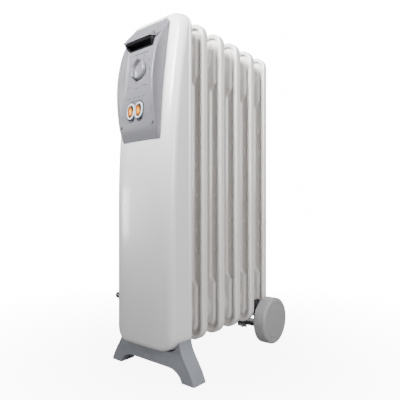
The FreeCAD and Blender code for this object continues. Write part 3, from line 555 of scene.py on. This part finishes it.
# ---- Control fascia ------------------------------------------------------
# One injection moulding in ABS: two side rails, a sunk dial panel that leans back
# and a brow over the grip. Two screws hold it to the hood from the front.

# Satin ABS: an even cool grey whose fine grain softens the highlight on the rails.
fascia_abs = mottled("fascia satin ABS", "77777d", "717177", rough=0.30,
                     cloud_mm=60.0, grain_mm=0.9, relief_mm=0.05, strength=0.30, IOR=1.53)
finish_node("control_fascia", fascia_abs, 1.5)
finish_node("fascia_screws", fascia_abs, 0.2)

# Two small gussets carry the brow's ends down into the rails.
GUSSET_ROWS, GUSSET_COLUMNS = 7, 6
GUSSET_WIDE, GUSSET_BACK, GUSSET_DROP = 5.5, 2.0, 7.5
gussets = []
for side in (-1, 1):
    vertices = []
    for row in range(GUSSET_ROWS):
        y = 0.5 + 4.0 * row
        brow_x = 33.6 + 0.22 * (y + 7.0)    # the brow's end runs out and up as it goes back
        brow_z = 590.0 + 1.04 * (y + 6.4)
        for column in range(GUSSET_COLUMNS):
            out = column / (GUSSET_COLUMNS - 1)
            x = side * (brow_x + GUSSET_WIDE * out)
            vertices.append((x, y + GUSSET_BACK * out, brow_z - GUSSET_DROP * ease(out)))
    faces = []
    for row in range(GUSSET_ROWS - 1):
        for column in range(GUSSET_COLUMNS - 1):
            a = row * GUSSET_COLUMNS + column
            b = a + GUSSET_COLUMNS
            faces.append((a, a + 1, b + 1, b) if side > 0 else (a, b, b + 1, a + 1))
    gussets.append((vertices, faces))
gusset = new_piece("brow_gussets", *join_parts(gussets))
gusset.data.materials.append(fascia_abs)
place(gusset, "heater", "grey_plastic")

# ---- Finger grip ---------------------------------------------------------
# A black nylon cup set under the brow; the heater is pulled along by it.

# Glass-filled nylon: near black, with a low broad sheen.
grip_nylon = mottled("grip black nylon", "212123", "1a1a1c", rough=0.34,
                     cloud_mm=20.0, grain_mm=0.8, relief_mm=0.05, strength=0.25, IOR=1.53)
finish_node("grip_insert", grip_nylon, 0.6)

# ---- Dial plate ----------------------------------------------------------
# Thin ABS plate let into the panel round the knob. Its scale is screen printed
# in dark grey ink: a ring of ticks, plain numbers and short rules.
PANEL_Y, PANEL_Z = -11.0, 452.0
PANEL_NORMAL = Vector((0, -0.9921, 0.1253))
PANEL_UP = Vector((0, 0.1253, 0.9921))
KNOB_UP = 85.2                # knob centre, measured up the panel from its lower end
STROKES = {
    "1": [(0.3, 0.8), (0.55, 1.0), (0.55, 0.0)],
    "2": [(0.1, 0.8), (0.3, 1.0), (0.65, 1.0), (0.8, 0.75), (0.1, 0.0), (0.85, 0.0)],
    "3": [(0.1, 0.95), (0.6, 1.0), (0.8, 0.75), (0.45, 0.52), (0.85, 0.28), (0.6, 0.0), (0.1, 0.05)],
    "4": [(0.65, 0.0), (0.65, 1.0), (0.05, 0.3), (0.9, 0.3)],
    "5": [(0.8, 1.0), (0.2, 1.0), (0.15, 0.55), (0.6, 0.6), (0.85, 0.3), (0.6, 0.0), (0.1, 0.05)],
    "6": [(0.75, 1.0), (0.3, 0.75), (0.12, 0.3), (0.4, 0.0), (0.8, 0.15), (0.8, 0.45), (0.5, 0.58),
          (0.15, 0.4)],
}
DIGIT_SIZE = (3.2, 4.2)
DIGIT_TURNS = (-100, -60, -20, 20, 60, 100)    # degrees clockwise from the top
SCALE_END = 125
TICKS = 25
TICK_START, TICK_LONG, TICK_SHORT = 20.6, 23.4, 22.2    # radii


def on_panel(x, up, lift):
    """Millimetre position on the dial panel: across, up the slope and out of it."""
    spot = Vector((x, PANEL_Y, PANEL_Z)) + PANEL_UP * up + PANEL_NORMAL * lift
    return tuple(spot)


def ink_line(points, width, lift=0.07):
    """Flat printed stroke through points given as (across, up)."""
    vertices, faces = [], []
    for (x0, u0), (x1, u1) in zip(points, points[1:]):
        length = math.hypot(x1 - x0, u1 - u0)
        ax = (x1 - x0) / length * width / 2
        au = (u1 - u0) / length * width / 2
        start = len(vertices)
        for x, u in ((x0 - ax + au, u0 - au - ax), (x1 + ax + au, u1 + au - ax),
                     (x1 + ax - au, u1 + au + ax), (x0 - ax - au, u0 - au + ax)):
            vertices.append(on_panel(x, u, lift))
        faces.append((start, start + 1, start + 2, start + 3))
    return vertices, faces


print_parts = [ink_line([(-13.5, 115.2), (20.0, 115.2)], 1.6)]
for tick in range(TICKS):
    turn_by = math.radians(SCALE_END - 2 * SCALE_END * tick / (TICKS - 1))
    ax, au = math.sin(turn_by), math.cos(turn_by)
    outer = TICK_LONG if tick % 4 == 0 else TICK_SHORT
    ends = [(radius * ax, KNOB_UP + radius * au) for radius in (TICK_START, outer)]
    print_parts.append(ink_line(ends, 0.8))
for number, turn_by in enumerate(DIGIT_TURNS, 1):
    left = 27.2 * math.sin(math.radians(turn_by)) - 1.5
    foot = KNOB_UP + 25.6 * math.cos(math.radians(turn_by)) - 1.7
    stroke = [(left + DIGIT_SIZE[0] * a, foot + DIGIT_SIZE[1] * b) for a, b in STROKES[str(number)]]
    print_parts.append(ink_line(stroke, 0.85))
for x0, x1, up_at in ((-27.0, -20.5, 57.5), (-5.5, 0.8, 51.8), (13.5, 22.0, 55.0)):
    print_parts.append(ink_line([(x0, up_at), (x1, up_at)], 1.5))
dial_print = new_piece("dial_print", *join_parts(print_parts), smooth=False)
# Screen ink: a thin matt film, dark grey and a little uneven where the mesh printed light.
dark_ink = mottled("dark screen ink", "3f4148", "34363c", rough=0.5,
                   cloud_mm=2.0, grain_mm=0.3, relief_mm=0.01, strength=0.2, IOR=1.5)
dial_print.data.materials.append(dark_ink)
place(dial_print, "heater", "dial_print")
finish_node("dial_plate", fascia_abs)

# ---- Thermostat knob -----------------------------------------------------
# Moulded ABS knob in the fascia's grey: a low skirt and a curved finger bar
# with one steep flank. It is pushed on the steel spindle of the thermostat.
KNOB_RADIUS = 18.5
KNOB_STEPS = 96
SKIRT_TOP, SKIRT_FOOT = 2.2, 1.0    # heights of the skirt's wall above the panel
BAR_TURN = math.radians(18)


def knob_height(a, b):
    """Height of the knob's top; a runs along the finger bar and b across it."""
    r = math.hypot(a, b)
    crest = -3.2 + 8.5 * (a / KNOB_RADIUS) ** 2    # the bar bows across the knob
    off = b - crest
    flank = 2.0 if off > 0 else 6.0    # steep on one side, a long slope on the other
    bar = math.exp(-(off / flank) ** 2) * ease((18.9 - r) / 3.0)
    shoulder = 6.6 - 1.0 * (r / KNOB_RADIUS) ** 2 - 3.4 * ease((r - 15.6) / 3.2)
    return shoulder + 7.4 * bar


def knob_ring(radius, height=None):
    """Points round the knob at a radius, on its top or at a fixed height."""
    points = []
    for i in range(KNOB_STEPS):
        angle = 2 * math.pi * i / KNOB_STEPS
        a, b = radius * math.cos(angle), radius * math.sin(angle)
        across = a * math.sin(BAR_TURN) + b * math.cos(BAR_TURN)
        along = a * math.cos(BAR_TURN) - b * math.sin(BAR_TURN)
        lift = knob_height(a, b) if height is None else height
        points.append(on_panel(across, KNOB_UP + along, lift))
    return points


radii = [0.0, 1.5, 3, 4.5, 6, 7.5, 9, 10.5, 12, 13.2, 14.4, 15.4, 16.3, 17.1, 17.8, 18.3]
vertices = [p for radius in radii for p in knob_ring(radius)]
vertices += knob_ring(KNOB_RADIUS, SKIRT_TOP) + knob_ring(KNOB_RADIUS, SKIRT_FOOT)
faces = ring_faces(len(radii) + 2, KNOB_STEPS)
knob = new_piece("thermostat_knob", vertices, faces, keep_sharp=60)
# A polished mould: the same grey as the fascia, glossier, so that the bar's crest catches the light.
knob_abs = mottled("knob silver grey ABS", "74747a", "6e6e74", rough=0.26,
                   cloud_mm=30.0, grain_mm=0.8, relief_mm=0.03, strength=0.2, IOR=1.53)
knob.data.materials.append(knob_abs)
place(knob, "knob", "knob_plastic", "control_knob")
finish_node("knob_spindle", zinc_steel)

# ---- Thermostat ----------------------------------------------------------
# Black moulded thermostat with its steel mounting plate, threaded brass bush
# and tinned blade terminals.

# Phenolic moulding: hard, black and half matt, with faint lighter flow marks.
black_phenolic = mottled("black phenolic moulding", "222224", "1a1a1b", rough=0.45,
                         cloud_mm=12.0, grain_mm=0.9, relief_mm=0.05, strength=0.3, IOR=1.6)
finish_node("thermostat_bush", brass, 0.2)
finish_node("thermostat_bracket", zinc_steel)
finish_node("thermostat_body", black_phenolic, 0.3)
finish_node("spade_terminals", zinc_steel)

# ---- Rocker switches -----------------------------------------------------
# Two oval rockers of clear amber polycarbonate, with neon lamps behind them,
# in one pale figure-eight bezel. They snap into black housings in the panel.

# Pale glossy ABS with a cold blue tinge, which frames the warm lenses.
bezel_abs = mottled("bezel pale ABS", "ccd4d8", "bfc8cd", rough=0.22,
                    cloud_mm=15.0, grain_mm=0.7, relief_mm=0.03, strength=0.2, IOR=1.53)
finish_node("switch_bezel", bezel_abs, 0.5)
# Clear amber polycarbonate over a lamp, under a glossy face. Its light core and faint glow are painted light,
# strongest in the middle; it deepens to brown and near black at the edge, painted shade where it meets the
# bezel.
PRISM_MM = 1.43
amber, tree, shader = start_material("amber polycarbonate", IOR=1.585, Roughness=0.16)
where = add_node(tree, "ShaderNodeTexCoord")
middle = add_node(tree, "ShaderNodeMapping", {"Location": (-0.5, -0.5, -0.5)},
                  Vector=where.outputs["Generated"])
flat_way = add_node(tree, "ShaderNodeVectorMath", {"operation": "MULTIPLY"})
tree.links.new(middle.outputs["Vector"], flat_way.inputs[0])
flat_way.inputs[1].default_value = (1.0, 0.0, 1.0)
from_middle = add_node(tree, "ShaderNodeVectorMath", {"operation": "LENGTH"})
tree.links.new(flat_way.outputs["Vector"], from_middle.inputs[0])
prisms = add_node(tree, "ShaderNodeTexVoronoi", {"Scale": 1000 / PRISM_MM}, Vector=where.outputs["Object"])
uneven = add_node(tree, "ShaderNodeMath", {"operation": "MULTIPLY_ADD"})
tree.links.new(prisms.outputs["Distance"], uneven.inputs[0])
uneven.inputs[1].default_value = 0.04
tree.links.new(from_middle.outputs["Value"], uneven.inputs[2])
lens_painted_light_and_shade = add_node(tree, "ShaderNodeValToRGB", Fac=uneven.outputs["Value"])
# Painted light core in the middle, painted shade at the lens's edge, broken up by the small moulded prisms.
for stop, position, colour in zip(lens_painted_light_and_shade.color_ramp.elements, (0.06, 0.46), ("ffbc4c", "241208")):
    stop.position = position
    stop.color = srgb(colour)
orange = lens_painted_light_and_shade.color_ramp.elements.new(0.30)
orange.color = srgb("c26a18")
tree.links.new(lens_painted_light_and_shade.outputs["Color"], shader.inputs["Base Color"])
# The same painted colours glow faintly: painted light, not a lamp.
tree.links.new(lens_painted_light_and_shade.outputs["Color"], shader.inputs["Emission Color"])
shader.inputs["Emission Strength"].default_value = 0.12
for node in ("rocker_left", "rocker_right"):
    finish_node(node, amber, 0.4)
for node in ("switch_housing_left", "switch_housing_right"):
    finish_node(node, black_phenolic)

# Printed marks: four dashes above the switches and a bracket over both; the line round the bezel is painted
# shade.
MARK_LIFT = 0.12
ROCKER_X, ROCKER_UP = 10.0, 11.6    # rocker centres: to each side, and up the panel
SHADE_LINE_HALF_WIDE, SHADE_LINE_HALF_HIGH = 11.7, 15.8
SHADE_LINE_OPEN = 7.5               # each painted shade line stops this far past its centre, towards the other
dashes = ((-23.5, 36.2, -15.5, 36.0), (-7.5, 36.0, -1.5, 36.0),
          (4.5, 35.8, 8.5, 35.8), (14.5, 35.5, 20.0, 35.5))
mark_parts = []
for x0, u0, x1, u1 in dashes:
    mark_parts.append(ink_line([(x0, u0), (x1, u1)], 1.3, MARK_LIFT))
mark_parts.append(ink_line([(-12.0, 27.6), (-12.0, 29.6), (14.0, 29.6), (14.0, 27.6)], 1.1, MARK_LIFT))
# A dark line round the bezel's outer edge: painted shade where the bezel meets the panel.
for side in (-1, 1):
    line = []
    for k in range(49):
        a = math.pi * k / 24
        x = side * ROCKER_X + SHADE_LINE_HALF_WIDE * math.cos(a)
        if side * x - ROCKER_X > -SHADE_LINE_OPEN:
            line.append((x, ROCKER_UP + SHADE_LINE_HALF_HIGH * math.sin(a)))
    mark_parts.append(ink_line(line, 2.0, MARK_LIFT))
switch_marks = new_piece("switch_marks", *join_parts(mark_parts), smooth=False)
# The same matt screen ink in a dark blue grey; on the line round the bezel it is painted shade.
blue_ink_and_painted_shade = mottled("blue grey ink and painted shade", "3a4453", "2f3845", rough=0.5,
                   cloud_mm=2.0, grain_mm=0.3, relief_mm=0.01, strength=0.2)
switch_marks.data.materials.append(blue_ink_and_painted_shade)
place(switch_marks, "heater", "dial_print")

# ---- Wiring behind the hood ----------------------------------------------
# Thermal cut-out strapped to the element, terminal block and sleeved leads.
finish_node("thermal_cutout", black_phenolic, 0.3)
finish_node("cutout_strap", zinc_steel)
# Steatite: an ivory ceramic with a thin, half-gloss glaze.
steatite = mottled("glazed steatite", "e6dfcc", "dbd2bc", rough=0.35,
                   cloud_mm=8.0, grain_mm=0.7, relief_mm=0.03, strength=0.3, IOR=1.6)
finish_node("terminal_block", steatite, 0.3)
# Silicone sleeving: off-white and matt, with a knobbly braid under the skin.
lead_sleeve = mottled("silicone lead sleeve", "d8d2c6", "c9c2b4", rough=0.6,
                      cloud_mm=5.0, grain_mm=0.5, relief_mm=0.1, strength=0.4)
finish_node("inner_leads", lead_sleeve)

# ---- Cord gland ----------------------------------------------------------
# Black nylon gland through the hood's side with its nut and the cord clamp.
finish_node("cord_gland", grip_nylon, 0.4)
finish_node("gland_nut", grip_nylon, 0.3)
finish_node("cord_clamp", zinc_steel)

# ---- Front foot ----------------------------------------------------------
# Splayed polypropylene saddle bolted under the hood with two zinc-plated
# bolts; four rubber pads are pressed into its soles.

# Moulded polypropylene: a waxy blue grey with a wide soft highlight along each leg.
foot_pp = mottled("foot grey polypropylene", "93969e", "8c8f97", rough=0.42,
                  cloud_mm=60.0, grain_mm=1.1, relief_mm=0.06, strength=0.35, IOR=1.49)
finish_node("front_foot", foot_pp, 2.2)
# Moulded rubber: black, dusty and without any highlight.
pad_rubber = mottled("black rubber", "2c2c2d", "232324", rough=0.75,
                     cloud_mm=6.0, grain_mm=0.5, relief_mm=0.06, strength=0.4, IOR=1.52)
finish_node("foot_pads", pad_rubber, 0.4)
finish_node("foot_bolts", zinc_steel, 0.2)
finish_node("foot_nuts", zinc_steel)

# ---- Axle bracket --------------------------------------------------------
# Folded steel strap under the last two elements, painted dark grey. A zinc-plated
# U-bolt over the lower header and two wing nuts hold it up.

# Stoved paint on rough steel: dark grey, slightly lumpy, with a dull gloss.
bracket_paint = mottled("dark grey stoved paint", "47474a", "3e3e41", rough=0.36,
                        cloud_mm=30.0, grain_mm=1.6, relief_mm=0.05, strength=0.25, IOR=1.5)
finish_node("axle_bracket", bracket_paint, 0.3)
finish_node("u_bolt", zinc_steel)
finish_node("wing_nuts", zinc_steel, 0.4)

# ---- Axles ---------------------------------------------------------------
# Turned steel stub axles riveted to the bracket, with washers and spring clips.
finish_node("stub_axles", zinc_steel, 0.2)
finish_node("axle_washers", zinc_steel)
finish_node("axle_clips", zinc_steel)

# ---- Wheels --------------------------------------------------------------
# Moulded polypropylene wheels: a narrow tread, a long rounded shoulder and a
# shallow domed cap snapped into the rim. Mid grey, spark-eroded.
wheel_low, wheel_high = part_box("wheel_left_rim")
WHEEL_RADIUS = wheel_high[2] / 2
WHEEL_Y = (wheel_low[1] + wheel_high[1]) / 2
# Half sections as radius and distance from the heater's middle. The rim goes from the bore out over
# the inner face, across the tread, over the shoulder and back down through the cap's seat.
rim_profile = [(4.06, 72.3), (11.0, 72.3), (11.0, 74.5), (44.0, 74.5), (45.0, 72.6), (48.3, 72.6),
               (49.0, 72.75), (49.5, 73.3), (49.7, 74.1), (49.7, 93.4), (49.65, 94.6), (49.4, 95.8),
               (48.9, 96.9), (48.1, 97.9), (47.0, 98.7), (45.4, 99.3), (43.2, 99.7), (40.4, 99.95),
               (38.2, 100.1), (37.3, 100.1), (36.9, 99.7), (36.9, 98.0), (34.5, 98.0), (34.5, 77.5),
               (11.0, 77.5), (11.0, 92.2), (4.06, 92.2), (4.06, 72.3)]
cap_profile = [(0.0, 98.2), (36.6, 98.2), (36.7, 99.5), (36.5, 99.9), (36.0, 100.15), (33.0, 100.3),
               (26.0, 100.52), (18.0, 100.68), (9.0, 100.77), (0.0, 100.8)]
# Moulded polypropylene: a neutral mid grey, soft and nearly matt.
wheel_pp = mottled("wheel grey polypropylene", "99999b", "929294", rough=0.44,
                   cloud_mm=60.0, grain_mm=1.1, relief_mm=0.06, strength=0.35, IOR=1.49)
for word, side in (("left", -1), ("right", 1)):
    for part, profile in (("rim", rim_profile), ("cap", cap_profile)):
        centre = (0, WHEEL_Y, WHEEL_RADIUS)
        vertices, faces = spin([(r, side * x) for r, x in profile], centre, "X", 112)
        if side > 0:
            faces = [face[::-1] for face in faces]
        wheel = new_piece("%s_wheel_%s" % (word, part), vertices, faces, keep_sharp=32)
        wheel.data.materials.append(wheel_pp)
        place(wheel, word + "_wheel", "wheel_plastic", "wheel_%s_%s" % (word, part))

# ---- Rating plate --------------------------------------------------------
# Blank aluminium foil label on the back of the last element.

# Aluminium foil: pale, finely brushed and softly reflecting.
label_foil = plated_metal("label foil", "c4c5c7", "b2b3b5", rough=0.42, streak_mm=0.8)
finish_node("rating_plate", label_foil)

# ---- Studio --------------------------------------------------------------
# Pale floor that glows white for the camera round the heater, soft boxes above, in front, on both
# sides and behind, and a level camera at about the height of the heater's middle.

# Background paper: matt and faintly fibrous, with a painted glow for the camera, weaker near the heater, so
# it reads as clean white.
PAPER_FIBRE_MM = 3.33
studio, tree, shader = start_material("studio paper", Base_Color=srgb("a0a0a0"), Roughness=0.9)
path = add_node(tree, "ShaderNodeLightPath")
where = add_node(tree, "ShaderNodeTexCoord")
away = add_node(tree, "ShaderNodeVectorMath", {"operation": "LENGTH"})
tree.links.new(where.outputs["Object"], away.inputs[0])
fade = add_node(tree, "ShaderNodeMapRange",
                {"From Min": 0.15, "From Max": 0.8, "To Min": 8.0, "To Max": 16.0},
                Value=away.outputs["Value"])
seen = add_node(tree, "ShaderNodeMath", {"operation": "MULTIPLY"})
tree.links.new(fade.outputs["Result"], seen.inputs[0])
tree.links.new(path.outputs["Is Camera Ray"], seen.inputs[1])
shader.inputs["Emission Color"].default_value = (1, 1, 1, 1)
tree.links.new(seen.outputs["Value"], shader.inputs["Emission Strength"])
fibre = add_node(tree, "ShaderNodeTexNoise", {"Scale": 1000 / PAPER_FIBRE_MM},
                 Vector=where.outputs["Object"])
bump = add_node(tree, "ShaderNodeBump", {"Strength": 0.05, "Distance": 0.3 * MM},
                Height=fibre.outputs["Fac"])
tree.links.new(bump.outputs["Normal"], shader.inputs["Normal"])
floor_mesh = bpy.data.meshes.new("floor")
floor_mesh.from_pydata([(-9, -9, 0), (9, -9, 0), (9, 9, 0), (-9, 9, 0)], [], [(0, 1, 2, 3)])
floor_mesh.materials.append(studio)
floor = bpy.data.objects.new("floor", floor_mesh)
bpy.context.collection.objects.link(floor)

world = bpy.data.worlds.new("studio")
world.use_nodes = True
tree = world.node_tree
fill = tree.nodes["Background"]
fill.inputs["Color"].default_value = (1, 1, 1, 1)
path = add_node(tree, "ShaderNodeLightPath")
level = add_node(tree, "ShaderNodeMapRange", {"To Min": 0.16, "To Max": 16.0},
                 Value=path.outputs["Is Camera Ray"])
tree.links.new(level.outputs["Result"], fill.inputs["Strength"])
bpy.context.scene.world = world


def softbox(name, place_from, aim, width, height, energy, spread=180):
    """Rectangular soft light aimed at a point; sizes in metres, spread in degrees."""
    lamp = bpy.data.lights.new(name, "AREA")
    lamp.shape = "RECTANGLE"
    lamp.energy = energy
    lamp.size, lamp.size_y = width, height
    lamp.spread = math.radians(spread)
    light = bpy.data.objects.new(name, lamp)
    light.location = place_from
    light.rotation_euler = (Vector(aim) - Vector(place_from)).to_track_quat("-Z", "Y").to_euler()
    bpy.context.collection.objects.link(light)


softbox("overhead", (0.05, -1.00, 1.15), (0.0, -0.05, 0.75), 0.6, 0.4, 9, 52)
softbox("front strip", (-0.10, -1.55, 0.95), (0.0, -0.1, 0.40), 0.06, 1.2, 1.3)
softbox("right", (1.6, -0.62, 0.90), (0.0, 0.0, 0.30), 0.7, 1.0, 24)
softbox("top right", (0.9, 0.35, 1.35), (0.0, 0.1, 0.55), 0.6, 0.6, 10)
softbox("rear left", (-1.3, 1.5, 1.1), (0.0, 0.1, 0.35), 1.0, 1.0, 14)
softbox("low left", (-1.3, -0.9, 0.30), (0.0, -0.1, 0.08), 0.5, 0.3, 1.0, 60)

camera_data = bpy.data.cameras.new("camera")
camera = bpy.data.objects.new("camera", camera_data)
bpy.context.collection.objects.link(camera)
camera_data.sensor_width = 36.0
camera_data.lens = 36.09
camera_data.shift_y = 0.0282
camera_data.clip_start = 0.01
turn = math.radians(39.45)
right = Vector((math.cos(turn), math.sin(turn), 0))
forward = Vector((-math.sin(turn), math.cos(turn), 0))
up = Vector((0, 0, 1))
eye = Vector((528.45, -474.87 + CENTRE_Y, 289.45)) * MM
camera.matrix_world = Matrix.Translation(eye) @ Matrix((right, up, -forward)).transposed().to_4x4()
bpy.context.scene.camera = camera
